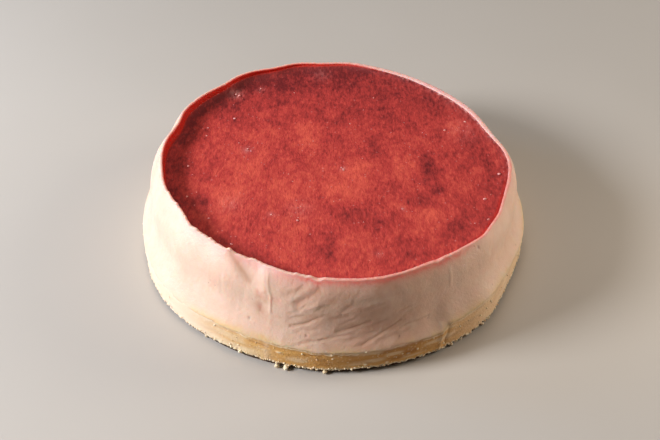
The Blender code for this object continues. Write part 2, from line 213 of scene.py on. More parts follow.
# Reddish places in the cream: reach, strength, line
REDDISH = (
    (2.2, 0.10, ((248.6, 32.0), (249.0, 28.5))),
    (2.0, 0.20, ((247.9, 39.0), (249.2, 38.4))),
    (1.6, 0.16, ((252.6, 37.2), (254.2, 37.6))),
    (2.0, 0.12, ((259.3, 38.2), (265.1, 45.3))),
    (2.3, 0.26, ((252.5, 48.8), (259.0, 47.6))), (2.0, 0.2, ((239.0, 51.0), (246.0, 49.8))),
    (1.5, 0.2, ((262.5, 45.5), (265.5, 46.5))),
)

# The fruit layer
FRUIT_TOP = 45.0
FRUIT_DEPTH = 3.6
FRUIT_SLOPE_X = -0.012
FRUIT_SLOPE_Y = 0.004
FRUIT_SWELL = 0.25
EDGE_CLIMB = (0.6, 2.6)
EDGE_CLIMB_WIDTH = (0.8, 3.0)
CLIMB_AT = 122
CLIMB_SPREAD = 58
THICK_CLIMB = ((45, 26, 1.1),)
EDGE_HIDDEN = 0.8

# Where the fruit is lighter (plus) or darker: x, y, half widths along x and y, strength
FRUIT_PATCHES = (
    (-55, -28, 11, 12, 0.8), (-15, 23, 7, 14, 0.7), (-45, -5, 9, 11, 0.6),
    (5, -22, 12, 12, 0.8), (-23, -25, 10, 12, 0.6), (37, -3, 7, 14, 0.5),
    (45, -42, 12, 10, 0.6), (-18, -52, 8, 9, 0.5), (-23, -68, 8, 8, 0.4),
    (65, 28, 5, 16, 0.5), (12, -66, 9, 8, 0.4), (13, -5, 9, 9, 0.5), (-42, 22, 12, 9, 0.3),
    (68, -18, 8, 10, 0.4), (-5, 60, 18, 12, 0.1),
    (20, 15, 4, 9, -0.7), (48, -5, 5, 12, -0.8), (52, -22, 4, 4, -0.7),
    (42, -30, 7, 5, -0.6), (-67, -31, 5, 6, -0.8), (2, 82, 9, 8, -0.5),
    (-33, 73, 12, 8, -0.6), (8, -38, 10, 6, -0.7), (-5, 35, 10, 6, -0.4),
    (-80, 22, 7, 26, -0.5), (-70, -13, 6, 8, -0.3), (58, -50, 8, 7, -0.6),
    (32, -67, 5, 8, -0.5), (-4, -65, 3, 12, -0.6), (72, 12, 7, 9, -0.5),
    (56, 45, 4, 8, -0.5), (28, 38, 12, 10, -0.3), (-60, 50, 12, 14, -0.4),
    (80, -8, 4, 16, -0.3), (20, -48, 7, 6, -0.5),
)

# Frosted spots: x, y, radius, strength
FROST_SPOTS = (
    (-57, 60, 3.2, 0.9), (-47, 9, 2.2, 0.6), (4, -6, 1.5, 0.7), (-43, 65, 2.0, 0.4),
    (-32, -42, 1.6, 0.6), (33, -37, 1.2, 0.6), (20, -69, 1.6, 0.5), (-18, -38, 5.0, 0.25),
    (-8, 80, 4.0, 0.3), (60, -75, 2.0, 0.3), (-53, -34, 5.0, 0.3), (70, 28, 8.0, 0.2),
)

# Pale crystals that stand on the fruit: x, y, radius
CRYSTALS = (
    (72, 36, 0.75), (60, 28, 0.65), (75, -29, 0.85), (75, -44, 0.6), (85, -9, 0.8),
    (-19, -46, 0.6), (-62.5, -45, 0.5), (-50, -63, 0.6), (-77, -5, 0.7), (-75, -29, 0.6),
    (-56, 37, 0.7), (-70, 28, 0.5), (-70, 21, 0.45), (4, -7, 0.5), (3, -5, 0.4),
    (-57, 60, 0.8), (-55, 59, 0.7), (-59, 61, 0.6), (-47, 10, 0.5), (-45, 8, 0.45),
    (-52, 15, 0.4), (-74, -12, 0.4), (8, 33, 0.35), (22, 58, 0.4), (-13, 86, 0.4),
    (-61, 62, 0.4), (-43, 66, 0.4), (68, -47, 0.4), (33, -37, 0.4), (-32, -42, 0.4),
)

SMALL_CRYSTALS = 70
CRYSTAL_REACH = 84
CRYSTAL_SEED = 111

# Parts of the round: azimuth, how far off it is none, how far off it is full
RED_SIDE = (285, 38, 20)
RED_LIP = (316, 58, 40)
JUICY_LIP = (140, 75, 50)
SOAKED = (238, 26, 12)
CREAMY_CRUST = (335, 44, 16)
# The biscuit's lower left, made paler as painted light where the key light strikes it
PAINTED_LIT_FOOT = (234, 23, 9)
WET_WALL = (140, 82, 52)
WET_RIGHT = (322, 40, 26)
# The fruit's front-left edge, darkened as painted shadow of the lip
PAINTED_LIP_SHADOW = (232, 44, 26)

# Parts of the round: azimuth, half width, strength
# Painted shade: the cream is darkened at the front, where its side turns from the light near azimuth 280,
# and a little near 250
PAINTED_FRONT_SHADE = ((280, 14, 0.85), (250, 8, 0.1))
PATCHY_LEFT = 0.14
PINK_EDGE = ((246, 26, 0.8), (30, 40, 0.8))

# The far left, where the light washes the side out: the biscuit there is made creamy as painted highlight,
# and the seam's lines, gold and ridges fade out.
FAR_LEFT = 198
FROSTED_LIP = (34, 24)

ARC = math.radians(1) * CRUST_RADIUS
HASH = np.array((73856093, 19349663, 83492791))
TABLE = 8191


# Shape rules

def hill(distance, half_width):
    """A smooth hill of height 1 that falls to half its height at half_width."""
    return 0.5 ** ((distance / half_width) ** 2)


def turn(azimuth, centre):
    return (azimuth - centre + 180) % 360 - 180


def pushed(size, folds, azimuth):
    return size + sum(push * hill(turn(azimuth, at), width) for at, width, push in folds)


def eased(value, low, high):
    """0 below low and 1 above high, smooth between."""
    share = np.clip((value - low) / (high - low), 0, 1)
    return share * share * (3 - 2 * share)


def fading(azimuth, middle, none, full):
    """0 at none degrees from the middle and 1 at full degrees, smooth between."""
    return eased(np.abs(turn(azimuth, middle)), none, full)


def cloud(points, size, seed):
    """Smooth noise from about -1 to 1 whose lumps are of that size. Each seed is a pattern."""
    cells = points / size
    low = np.floor(cells).astype(np.int64)
    ease = cells - low
    ease = ease * ease * (3 - 2 * ease)
    table = np.random.default_rng(seed).uniform(-1, 1, TABLE)
    total = np.zeros(points.shape[:-1])
    for corner in itertools.product((0, 1), repeat=3):
        weight = np.prod(np.where(corner, ease, 1 - ease), axis=-1)
        key = np.bitwise_xor.reduce((low + corner) * HASH, axis=-1) % TABLE
        total += weight * table[key]
    return total


def pebbles(points, size, seed):
    """(dome, tone): lumps of that size packed side by side, and a random value for each."""
    cells = points / size
    low = np.floor(cells).astype(np.int64)
    table = np.random.default_rng(seed).uniform(0, 1, (TABLE, 4))
    nearest = np.full(points.shape[:-1], 9.0)
    tone = np.zeros(points.shape[:-1])
    for corner in itertools.product((-1, 0, 1), repeat=3):
        home = low + corner
        key = np.bitwise_xor.reduce(home * HASH, axis=-1) % TABLE
        gap = np.linalg.norm(home + table[key][..., :3] - cells, axis=-1)
        closer = gap < nearest
        nearest = np.where(closer, gap, nearest)
        tone = np.where(closer, table[key][..., 3], tone)
    return np.clip(1 - nearest, 0, 1), tone


def on_ring(azimuth, radius, height):
    angle = np.radians(azimuth)
    height = np.broadcast_to(height, np.shape(radius * azimuth))
    return np.stack([radius * np.cos(angle), radius * np.sin(angle), height], axis=-1)


def crust_radius(azimuth):
    return pushed(CRUST_RADIUS, CRUST_FOLDS, azimuth)


def crust_top(azimuth):
    return pushed(CRUST_HEIGHT, CRUST_TOP_FOLDS, azimuth)


def seam_height(azimuth):
    """Where the cream ends on the biscuit: the plain line, made uneven."""
    ring = on_ring(azimuth, CRUST_RADIUS, 0)
    wander = cloud(ring, 3.5, 31) + 0.6 * cloud(ring, 1.3, 32)
    return crust_top(azimuth) + SEAM_WANDER * wander


def rim_radius(azimuth):
    return pushed(RIM_RADIUS, RIM_FOLDS, azimuth)


def calm_rim(azimuth):
    """The rim's height without its peaks and nicks: it leans with the whole cake."""
    ring = on_ring(azimuth, RIM_RADIUS, 0)
    return RIM_HEIGHT + RIM_SLOPE_X * ring[..., 0] + RIM_SLOPE_Y * ring[..., 1]


def rim_height(azimuth):
    ring = on_ring(azimuth, RIM_RADIUS, 0)
    plain = calm_rim(azimuth)
    peaks = pushed(0, RIM_PEAKS, azimuth)
    centre, spread, size = RIM_TORN
    torn = hill(turn(azimuth, centre), spread) * size
    teeth = np.clip(cloud(ring, 1.7, 41) + 0.5 * cloud(ring, 0.8, 42), -0.4, 1)
    return plain + peaks + torn * teeth + RIM_UNEVEN * cloud(ring, 2.6, 43)


def lip_width(azimuth):
    share = hill(turn(azimuth, LIP_THICK_AZIMUTH), LIP_THICK_SPREAD)
    return LIP_THIN + (LIP_THICK - LIP_THIN) * share


def hollow_radius(azimuth):
    return rim_radius(azimuth) - lip_width(azimuth)


def fruit_height(x, y):
    return FRUIT_TOP + FRUIT_SLOPE_X * x + FRUIT_SLOPE_Y * y


def hidden_creases():
    draw = np.random.default_rng(HIDDEN_SEED)
    creases = []
    for index in range(HIDDEN_CREASES):
        azimuth = HIDDEN_FROM + HIDDEN_SPAN * (index + draw.uniform(0.1, 0.9)) / HIDDEN_CREASES
        low = draw.uniform(*HIDDEN_HEIGHTS)
        sweep = draw.uniform(*HIDDEN_SWEEPS)
        rise = draw.uniform(*HIDDEN_RISES)
        width = draw.uniform(*HIDDEN_WIDTHS)
        depth = draw.choice(HIDDEN_DEPTHS)
        creases.append((width, depth, ((azimuth, low), (azimuth + sweep, low + rise))))
    return creases


def wrinkles():
    """Fine creases, each as (half width, depth, line)."""
    draw = np.random.default_rng(WRINKLE_SEED)
    made = []
    for count, azimuths, heights, lengths, tilts, widths, depths in WRINKLES:
        for _ in range(count):
            azimuth = draw.uniform(*azimuths)
            height = draw.uniform(*heights)
            length = draw.uniform(*lengths)
            tilt = math.radians(draw.uniform(*tilts))
            sweep = math.degrees(length * math.cos(tilt) / CRUST_RADIUS)
            rise = length * math.sin(tilt)
            line = ((azimuth, height), (azimuth + sweep, height + rise))
            made.append((draw.uniform(*widths), draw.uniform(*depths), line))
    return made


def crease_depth(azimuth, height, creases, bank=0.0):
    """How far the side is pressed in by the creases. bank raises the side above each."""
    depth = np.zeros(np.shape(azimuth * height))
    for width, size, line in creases:
        nearest = np.full(depth.shape, 1e3)
        for (start, low), (end, high) in zip(line, line[1:]):
            run = turn(end, start) * ARC
            rise = high - low
            long = math.hypot(run, rise)
            along = turn(azimuth, start) * ARC
            up = height - low
            share = np.clip((along * run + up * rise) / (long * long), 0, 1)
            distance = np.hypot(along - share * run, up - share * rise)
            nearest = np.minimum(nearest, distance)
        depth = depth + size * (0.7 * hill(nearest, width) + 0.3 * hill(nearest, 0.45 * width))
        if bank:
            across = (up * run - along * rise) / long
            past = nearest * np.sign(across) - 2.0 * width
            depth = depth - bank * size * hill(past, 1.3 * width)
    return depth


PLAIN_CREASES = [*SIDE_CREASES, *hidden_creases()]
NARROW_CREASES = [crease for crease in SIDE_CREASES if crease[0] < 1.5 and crease[1] > 0]
FINE_CREASES = wrinkles()
FRONT_WRINKLES = FINE_CREASES[:WRINKLES[0][0] + WRINKLES[1][0]]
STREAK_LINES = [(w, -size, ((at, low), (at + 0.2, high))) for at, low, high, w, size in STREAKS]


def facing(azimuth, centre):
    return np.clip(np.cos(np.radians(azimuth - centre)), 0, None)


def warped(azimuth, height):
    """The place on the side, moved a little so that the creases aren't straight."""
    ring = on_ring(azimuth, CRUST_RADIUS, height)
    shift = 0.5 * cloud(ring, 7, 51) + 0.12 * cloud(ring, 2.5, 52)
    lift = 0.45 * cloud(ring, 7, 53) + 0.15 * cloud(ring, 2.5, 54)
    return azimuth + np.degrees(shift / CRUST_RADIUS), height + lift


def side_radius(azimuth, height, low, high):
    """Radius of the cream's side without its fine relief."""
    share = np.clip((height - low) / (high - low), 0, 1)
    lean = crust_radius(azimuth) * (1 - share) + rim_radius(azimuth) * share
    left, right = facing(azimuth, LEFT), facing(azimuth, RIGHT)
    belly = (BELLY[0] * left + BELLY[1] * right) * np.sin(math.pi * share)
    shoulder = SHOULDER[0] + SHOULDER[1] * left + SHOULDER[2] * right
    full = belly - shoulder * np.sin(2 * math.pi * share)
    fade = np.minimum(1, CREASE_GROWTH * (1 - share) + CREASE_AT_LIP)
    moved = warped(azimuth, height)
    depth = crease_depth(*moved, PLAIN_CREASES)
    fine = crease_depth(*moved, FINE_CREASES, bank=0.4)
    fine = fine + crease_depth(azimuth, height, STREAK_LINES)
    return lean + full - fade * (depth + fine)


# Mesh builders

def closed_rings(name, rows, low_middle, high_middle, facts):
    """A closed mesh through rings of points, lowest ring first, with a fan at either end.

    rows is (rings, points, 3). facts gives a value for each of those points by name.
    """
    rings, count = rows.shape[:2]
    index = np.arange(rings * count).reshape(rings, count)
    beside = np.roll(index, -1, axis=1)
    walls = np.stack([index[:-1], beside[:-1], beside[1:], index[1:]], axis=-1).reshape(-1, 4)
    low = np.full(count, rings * count)
    lower = np.stack([low, beside[0], index[0]], axis=-1)
    upper = np.stack([low + 1, index[-1], beside[-1]], axis=-1)
    points = np.concatenate([rows.reshape(-1, 3), [low_middle], [high_middle]])
    faces = walls.tolist() + lower.tolist() + upper.tolist()
    given = {key: np.concatenate([value.ravel(), [0, 0]]) for key, value in facts.items()}
    return piece(name, points, faces, given)


def piece(name, points, faces, facts):
    mesh = bpy.data.meshes.new(name)
    mesh.from_pydata((np.asarray(points) * MM).tolist(), [], faces)
    for key, values in facts.items():
        layer = mesh.attributes.new(key, "FLOAT", "POINT")
        layer.data.foreach_set("value", np.asarray(values, np.float32))
    mesh.shade_smooth()
    made = bpy.data.objects.new(name, mesh)
    bpy.context.collection.objects.link(made)
    return made


def finished(made, material, node=None):
    """The piece gets its material, rides on the cake, and stands for its solid."""
    made.data.materials.clear()
    made.data.materials.append(material)
    if node:
        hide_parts(node)
    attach(made, "root")


# Shader tools

def fill(tree, node, sockets):
    """Gives each of these inputs a value, or links another node's output to it."""
    for key, value in sockets.items():
        if isinstance(value, bpy.types.NodeSocket):
            tree.links.new(value, node.inputs[key])
        else:
            node.inputs[key].default_value = value
    return node


def add(tree, kind, sockets=None, **settings):
    node = tree.nodes.new(kind)
    for key, value in settings.items():
        setattr(node, key, value)
    return fill(tree, node, sockets or {})


def math_node(tree, operation, first, second):
    sockets = {0: first, 1: second}
    return add(tree, "ShaderNodeMath", sockets, operation=operation).outputs[0]


def plus(tree, first, second):
    return math_node(tree, "ADD", first, second)


def times(tree, first, second):
    return math_node(tree, "MULTIPLY", first, second)


def ranged(tree, value, low, high, to_low=0.0, to_high=1.0):
    """The value moved from between low and high to between to_low and to_high."""
    sockets = {"Value": value, "From Min": low, "From Max": high}
    sockets |= {"To Min": to_low, "To Max": to_high}
    return add(tree, "ShaderNodeMapRange", sockets).outputs["Result"]


def mixed(tree, colour, stain, share, strength=None):
    """The colour with a stain mixed in by that share, or by the share times a strength."""
    if strength is not None:
        share = times(tree, share, strength)
    sockets = {0: share, 6: colour, 7: stain}
    return add(tree, "ShaderNodeMix", sockets, data_type="RGBA").outputs[2]


def fact(tree, name):
    return add(tree, "ShaderNodeAttribute", attribute_name=name).outputs["Fac"]


def rgb(red, green, blue):
    return (red, green, blue, 1)


def new_group(name, inputs, outputs, tree_kind="ShaderNodeTree", output_kind="NodeSocketFloat"):
    """(tree, what its inputs give, its output node)."""
    tree = bpy.data.node_groups.new(name, tree_kind)
    for label, kind, value in inputs:
        socket = tree.interface.new_socket(label, in_out="INPUT", socket_type=kind)
        if value is not None:
            socket.default_value = value
    for label in outputs:
        tree.interface.new_socket(label, in_out="OUTPUT", socket_type=output_kind)
    given = tree.nodes.new("NodeGroupInput").outputs
    return tree, given, tree.nodes.new("NodeGroupOutput")


VECTOR = "NodeSocketVector"
FLOAT = "NodeSocketFloat"


def noise_of(tree, place, size, detail, roughness=0.5):
    """Noise whose lumps are of that size in millimetres."""
    scale = math_node(tree, "DIVIDE", 1000.0, size)
    sockets = {"Vector": place, "Scale": scale, "Detail": detail, "Roughness": roughness}
    return add(tree, "ShaderNodeTexNoise", sockets).outputs[0]


def mottle_group():
    """Cloudy light and dark, broad and fine."""
    inputs = (("Place", VECTOR, None), ("Broad mm", FLOAT, 14.0), ("Fine mm", FLOAT, 2.5))
    tree, given, out = new_group("mottle", inputs, ("Broad", "Fine"))
    broad = noise_of(tree, given["Place"], given["Broad mm"], 3.0)
    fine = noise_of(tree, given["Place"], given["Fine mm"], 4.0, 0.6)
    fill(tree, out, {"Broad": ranged(tree, broad, 0.33, 0.67)})
    fill(tree, out, {"Fine": ranged(tree, fine, 0.33, 0.67)})
    return tree


def speckle_group():
    """Small round spots, each of its own size, a given distance apart."""
    inputs = (("Place", VECTOR, None), ("Apart mm", FLOAT, 4.0), ("Share", FLOAT, 0.3))
    tree, given, out = new_group("speckle", inputs, ("Spots",))
    scale = math_node(tree, "DIVIDE", 1000.0, given["Apart mm"])
    cells = add(tree, "ShaderNodeTexVoronoi", {"Vector": given["Place"], "Scale": scale})
    parts = add(tree, "ShaderNodeSeparateColor", {0: cells.outputs["Color"]})
    reach = math_node(tree, "SUBTRACT", parts.outputs[0], 0.55)
    reach = times(tree, reach, given["Share"])
    inside = math_node(tree, "SUBTRACT", reach, cells.outputs["Distance"])
    fill(tree, out, {"Spots": ranged(tree, inside, 0.0, 0.03)})
    return tree


def grain_group():
    """The height of a fine grain, in two sizes."""
    inputs = (("Place", VECTOR, None), ("Coarse mm", FLOAT, 1.2), ("Fine mm", FLOAT, 0.4))
    tree, given, out = new_group("grain", inputs, ("Height",))
    coarse = noise_of(tree, given["Place"], given["Coarse mm"], 2.0)
    fine = noise_of(tree, given["Place"], given["Fine mm"], 2.0, 0.6)
    fill(tree, out, {"Height": plus(tree, coarse, times(tree, fine, 0.45))})
    return tree


MOTTLE = mottle_group()
SPECKLE = speckle_group()
GRAIN = grain_group()


def use(tree, group, *values):
    """What the group gives when its inputs get these values, in their order."""
    return add(tree, "ShaderNodeGroup", dict(enumerate(values)), node_tree=group).outputs


def new_material(name):
    """(material, tree, shader, object coordinates)."""
    material = bpy.data.materials.new(name)
    material.use_nodes = True
    tree = material.node_tree
    shader = fill(tree, tree.nodes["Principled BSDF"], {"Metallic": 0.0})
    return material, tree, shader, add(tree, "ShaderNodeTexCoord").outputs["Object"]


def grained(tree, place, coarse, fine, depth):
    """The normal of a grain of two sizes and that depth, all in millimetres."""
    height = use(tree, GRAIN, place, coarse, fine)["Height"]
    sockets = {"Height": height, "Distance": depth * MM, "Strength": 1.0}
    return add(tree, "ShaderNodeBump", sockets).outputs[0]


def stretched(tree, place, scale):
    return add(tree, "ShaderNodeMapping", {"Vector": place, "Scale": scale}).outputs[0]


CREAM_PALE = rgb(0.88, 0.625, 0.485)
CREAM_DEEP = rgb(0.79, 0.525, 0.385)
# The colour of the cream's darker patches, and of the painted shade at the front
CREAM_PATCH_AND_SHADE = rgb(0.67, 0.39, 0.27)
# Brown for the seam's lines and cracks, and for painted shade in creases and dents
CREAM_LINE_AND_SHADE = rgb(0.55, 0.29, 0.18)
CREAM_GOLD = rgb(0.80, 0.51, 0.26)
CREAM_PINK = rgb(0.86, 0.50, 0.46)
BLUSH = rgb(0.84, 0.19, 0.15)
JUICE = rgb(0.78, 0.030, 0.014)
# Dark specks in the cream, and painted shade inside the pits
SPECK_AND_PIT_SHADE = rgb(0.34, 0.13, 0.10)


def cream_material():
    material, tree, shader, place = new_material("cream_finish")
    mottle = use(tree, MOTTLE, place, 13.0, 2.2)
    patches = use(tree, MOTTLE, stretched(tree, place, (1.0, 1.0, 0.7)), 5.0, 1.3)
    colour = mixed(tree, CREAM_PALE, CREAM_DEEP, mottle["Broad"], 0.75)
    colour = mixed(tree, colour, CREAM_DEEP, mottle["Fine"], 0.28)
    # Darker patches all round, with painted shade at the front
    patches_and_painted_shade = ranged(tree, patches["Broad"], 0.0, 1.0, 0.35, 1.0)
    colour = mixed(tree, colour, CREAM_PATCH_AND_SHADE, patches_and_painted_shade, fact(tree, "patches_and_painted_shade"))
    # The last of these mixes in painted shade for creases and dents as well as brown seam lines
    for name, stain in (("pink", CREAM_PINK), ("gold", CREAM_GOLD), ("brown_lines_and_crease_shade", CREAM_LINE_AND_SHADE)):
        colour = mixed(tree, colour, stain, fact(tree, name))
    uneven = ranged(tree, mottle["Fine"], 0.0, 1.0, 0.7, 1.1)
    colour = mixed(tree, colour, BLUSH, uneven, fact(tree, "blush"))
    colour = mixed(tree, colour, SPECK_AND_PIT_SHADE, use(tree, SPECKLE, place, 5.5, 0.22)["Spots"], 0.35)
    # Painted shade inside the pits
    colour = mixed(tree, colour, SPECK_AND_PIT_SHADE, fact(tree, "painted_pit_shade"))
    juice = fact(tree, "juice")
    rough = ranged(tree, mottle["Fine"], 0.0, 1.0, 0.40, 0.52)
    fill(tree, shader, {
        "Base Color": mixed(tree, colour, JUICE, juice),
        "Roughness": plus(tree, rough, times(tree, juice, -0.25)),
        "Coat Weight": times(tree, juice, 0.5),
        "Coat Roughness": 0.15,
        "Specular IOR Level": 0.4,
        "Subsurface Weight": 0.45,
        "Subsurface Radius": (1.0, 0.42, 0.25),
        "Subsurface Scale": 2.4 * MM,
        "Normal": grained(tree, place, 1.6, 0.5, 0.18),
    })
    return material


FRUIT_DARK = rgb(0.15, 0.010, 0.011)
FRUIT_MID = rgb(0.46, 0.034, 0.027)
FRUIT_LIGHT = rgb(0.71, 0.095, 0.054)
FROST = rgb(0.70, 0.33, 0.30)


def fruit_material():
    material, tree, shader, place = new_material("fruit_finish")
    strokes = stretched(tree, place, (1.0, 0.4, 1.0))
    mottle = use(tree, MOTTLE, stretched(tree, place, (1.0, 0.6, 1.0)), 7.5, 2.0)
    fibres = use(tree, MOTTLE, strokes, 1.5, 0.7)
    tone = plus(tree, times(tree, fact(tree, "tone"), 0.42), 0.5)
    for value, share in (
        (mottle["Broad"], 0.28), (mottle["Fine"], 0.24), (fibres["Broad"], 0.26),
        (fibres["Fine"], 0.22),
    ):
        tone = plus(tree, tone, times(tree, math_node(tree, "SUBTRACT", value, 0.5), share))
    colour = mixed(tree, FRUIT_DARK, FRUIT_MID, ranged(tree, tone, 0.0, 0.5))
    colour = mixed(tree, colour, FRUIT_LIGHT, ranged(tree, tone, 0.5, 1.0))
    haze = times(tree, use(tree, SPECKLE, place, 2.2, 0.5)["Spots"], 0.34)
    haze = times(tree, plus(tree, haze, 0.03), ranged(tree, tone, 0.0, 0.6, 0.2, 1.0))
    colour = mixed(tree, colour, FROST, haze)
    dark = use(tree, SPECKLE, stretched(tree, place, (1.3, 1.0, 1.0)), 1.7, 0.5)
    colour = mixed(tree, colour, FRUIT_DARK, dark["Spots"], 0.18)
    frost = times(tree, fact(tree, "frost"), fibres["Broad"])
    colour = mixed(tree, colour, FROST, frost, 0.55)
    wet = fact(tree, "wet")
    rough = ranged(tree, fibres["Fine"], 0.0, 1.0, 0.46, 0.62)
    fill(tree, shader, {
        "Base Color": mixed(tree, colour, JUICE, wet),
        "Roughness": plus(tree, rough, times(tree, wet, -0.3)),
        "Specular IOR Level": 0.25,
        "Sheen Weight": 0.04,
        "Sheen Roughness": 0.4,
        "Sheen Tint": rgb(1.0, 0.6, 0.55),
        "Normal": grained(tree, strokes, 1.1, 0.45, 0.3),
    })
    return material


BISCUIT_GOLD = rgb(0.86, 0.455, 0.115)
BISCUIT_PALE = rgb(0.97, 0.82, 0.57)
BISCUIT_BROWN = rgb(0.47, 0.19, 0.042)
BISCUIT_CREAMY = rgb(0.90, 0.70, 0.52)
# Painted shade: near black, for the undercut below the biscuit's broken edge
BISCUIT_UNDERCUT_SHADE = rgb(0.055, 0.02, 0.006)

CRYSTAL_PALE = rgb(0.86, 0.46, 0.42)
CRYSTAL_RED = rgb(0.70, 0.20, 0.17)


def biscuit_material(name):
    material, tree, shader, place = new_material(name)
    mottle = use(tree, MOTTLE, place, 7.0, 1.2)
    strata = use(tree, MOTTLE, stretched(tree, place, (1.0, 1.0, 4.5)), 9.0, 2.5)
    colour = mixed(tree, BISCUIT_GOLD, BISCUIT_PALE, mottle["Fine"], 0.12)
    colour = mixed(tree, colour, BISCUIT_BROWN, strata["Broad"], 0.2)
    colour = mixed(tree, colour, BISCUIT_BROWN, strata["Fine"], 0.2)
    # Of these, under is painted shade, and brown and creamy carry painted shade and painted highlight
    # besides the biscuit's own colours
    for label, stain in (
        ("brown_and_painted_shade", BISCUIT_BROWN), ("pale", BISCUIT_PALE), ("creamy_and_painted_highlight", BISCUIT_CREAMY),
        ("under", BISCUIT_UNDERCUT_SHADE),
    ):
        colour = mixed(tree, colour, stain, fact(tree, label))
    fill(tree, shader, {
        "Base Color": colour,
        "Roughness": ranged(tree, mottle["Fine"], 0.0, 1.0, 0.62, 0.85),
        "Specular IOR Level": 0.35,
        "Subsurface Weight": 0.08,
        "Subsurface Radius": (1.0, 0.5, 0.25),
        "Subsurface Scale": 1.5 * MM,
        "Normal": grained(tree, place, 0.9, 0.35, 0.3),
    })
    return material


def crystal_material():
    material, tree, shader, place = new_material("crystal_finish")
    mottle = use(tree, MOTTLE, place, 0.8, 0.3)
    fill(tree, shader, {
        "Base Color": mixed(tree, CRYSTAL_PALE, CRYSTAL_RED, mottle["Broad"]),
        "Roughness": ranged(tree, mottle["Fine"], 0.0, 1.0, 0.3, 0.5),
        "Subsurface Weight": 0.3,
        "Subsurface Scale": 0.5 * MM,
    })
    return material


# The pieces

CREAM_SEGMENTS = 1100
CREAM_ROWS = 58
HOLDING_ROW = 0.001
BISCUIT_SEGMENTS = 1400
BISCUIT_ROWS = 28
EDGE_ROWS = (
    0.0, 0.35, 0.7, 0.95, 1.15, 1.35, 1.55, 1.75, 1.95, 2.2, 2.45, 2.8, 3.2, 3.75,
)
FRUIT_CELLS = 270


def pit_list():
    draw = np.random.default_rng(PIT_SEED)
    hidden = [
        (draw.uniform(338, 545), draw.uniform(20, 42), draw.uniform(0.4, 0.8))
        for _ in range(HIDDEN_PITS)
    ]
    return [*PITS, *hidden]


def pit_share(azimuth, height):
    share = np.zeros(azimuth.shape)
    for at, level, radius in pit_list():
        distance = np.hypot(turn(azimuth, at) * ARC, height - level)
        share = np.maximum(share, hill(distance, 0.6 * radius))
    return share


def hill_along(azimuth, height, width, line):
    return np.clip(crease_depth(azimuth, height, [(width, 1.0, line)]), 0, 1)


def marked(azimuth, height, marks):
    """The strongest of the marks at each point. A mark is (reach, strength, line)."""
    share = np.zeros(np.shape(azimuth * height))
    for reach, strength, line in marks:
        share = np.maximum(share, strength * hill_along(azimuth, height, reach, line))
    return share


def seam_cracks(azimuth, height):
    return marked(azimuth, height, [(0.4, 1.0, line) for line in SEAM_LINES])


def side_lines_and_crease_shade(azimuth, height, above, place, cracks):
    """Painted shade in the dents, the pleat and the bottoms of narrow creases and wrinkles, plus brown lines
    and cracks at the seam.
    """
    moved = warped(azimuth, height)
    # Painted shade in the bottoms of the narrow creases and the front wrinkles
    narrow = 0.55 * eased(crease_depth(*moved, NARROW_CREASES), 0.03, 0.36)
    folded = 0.3 * eased(crease_depth(*moved, FRONT_WRINKLES), 0.05, 0.25)
    brown_lines_and_crease_shade = np.maximum(marked(azimuth, height, PAINTED_CREASE_SHADE), np.maximum(narrow, folded))
    line = hill(above, 0.2) * eased(cloud(place * (0.4, 0.4, 0), 2.5, 65), 0.1, 0.7)
    line = line * fading(azimuth, FAR_LEFT, 24, 40)
    return np.clip(brown_lines_and_crease_shade + 0.2 * line + 0.9 * cracks, 0, 1)


def side_blush(azimuth, height, under):
    """Red that has seeped into the cream below the rim, and a few reddish places."""
    blush = 0.9 * fading(azimuth, *RED_SIDE) * np.exp(-np.clip(under - 1.2, 0, None) / 1.3)
    blush = blush * (0.45 + 0.55 * eased(under, 0.2, 0.8))
    blush = np.maximum(blush, 0.14 * np.exp(-under / 2.2))
    return np.maximum(blush, marked(azimuth, height, REDDISH))


def side_gold(azimuth, above, place):
    """Gold that has soaked up into the cream from the biscuit, in blotches."""
    shown = fading(azimuth, FAR_LEFT, 20, 40)
    soaked = fading(azimuth, *SOAKED) * (1 - eased(above, 0.4, 4.2))
    soaked = soaked * (0.55 + 0.45 * cloud(place * (0.5, 0.5, 1), 3, 64))
    blotch = eased(cloud(place * (0.35, 0.35, 0), 2.4, 66), -0.1, 0.35)
    stain = (0.35 + 0.6 * blotch) * np.exp(-above / (0.35 + 0.8 * blotch))
    soft = 0.14 * (1 - eased(above, 0, 4))
    return np.clip(0.9 * soaked * shown + soft + stain * shown, 0, 1)


def cream_side(azimuth, low, high):
    """Rows of the side from the seam to the rim, with what each point is coloured by."""
    share = np.append((0.0, HOLDING_ROW), np.linspace(0, 1, CREAM_ROWS)[1:])[:, None]
    height = low + (high - low) * share
    azimuth = np.broadcast_to(azimuth, height.shape)
    above, under = height - low, high + LIP_ROUNDING - height
    radius = side_radius(azimuth, height, crust_top(azimuth), calm_rim(azimuth))
    place = on_ring(azimuth, radius, height)
    relief = sum(size * cloud(place, wide, seed) for wide, size, seed in CREAM_RELIEF)
    pits, cracks = pit_share(azimuth, height), seam_cracks(azimuth, height)
    radius = radius + relief * (0.4 + 0.6 * eased(above, 0, 1.2))
    radius = radius - PIT_DEPTH * pits - CRACK_DEPTH * cracks
    facts = {
        "brown_lines_and_crease_shade": side_lines_and_crease_shade(azimuth, height, above, place, cracks),
        "blush": side_blush(azimuth, height, under),
        # Painted shade inside the pits
        "painted_pit_shade": 0.6 * pits,
        "gold": side_gold(azimuth, above, place),
        "juice": np.zeros(height.shape),
        # Patches all round, with painted shade at the front
        "patches_and_painted_shade": pushed(0.16, PAINTED_FRONT_SHADE, azimuth),
        "pink": np.clip(pushed(0, PINK_EDGE, azimuth) * np.exp(-under / 2.2), 0, 1),
    }
    facts["patches_and_painted_shade"] += PATCHY_LEFT * hill(turn(azimuth, 205), 25) * eased(height, 22, 40)
    return on_ring(azimuth, radius, height), facts


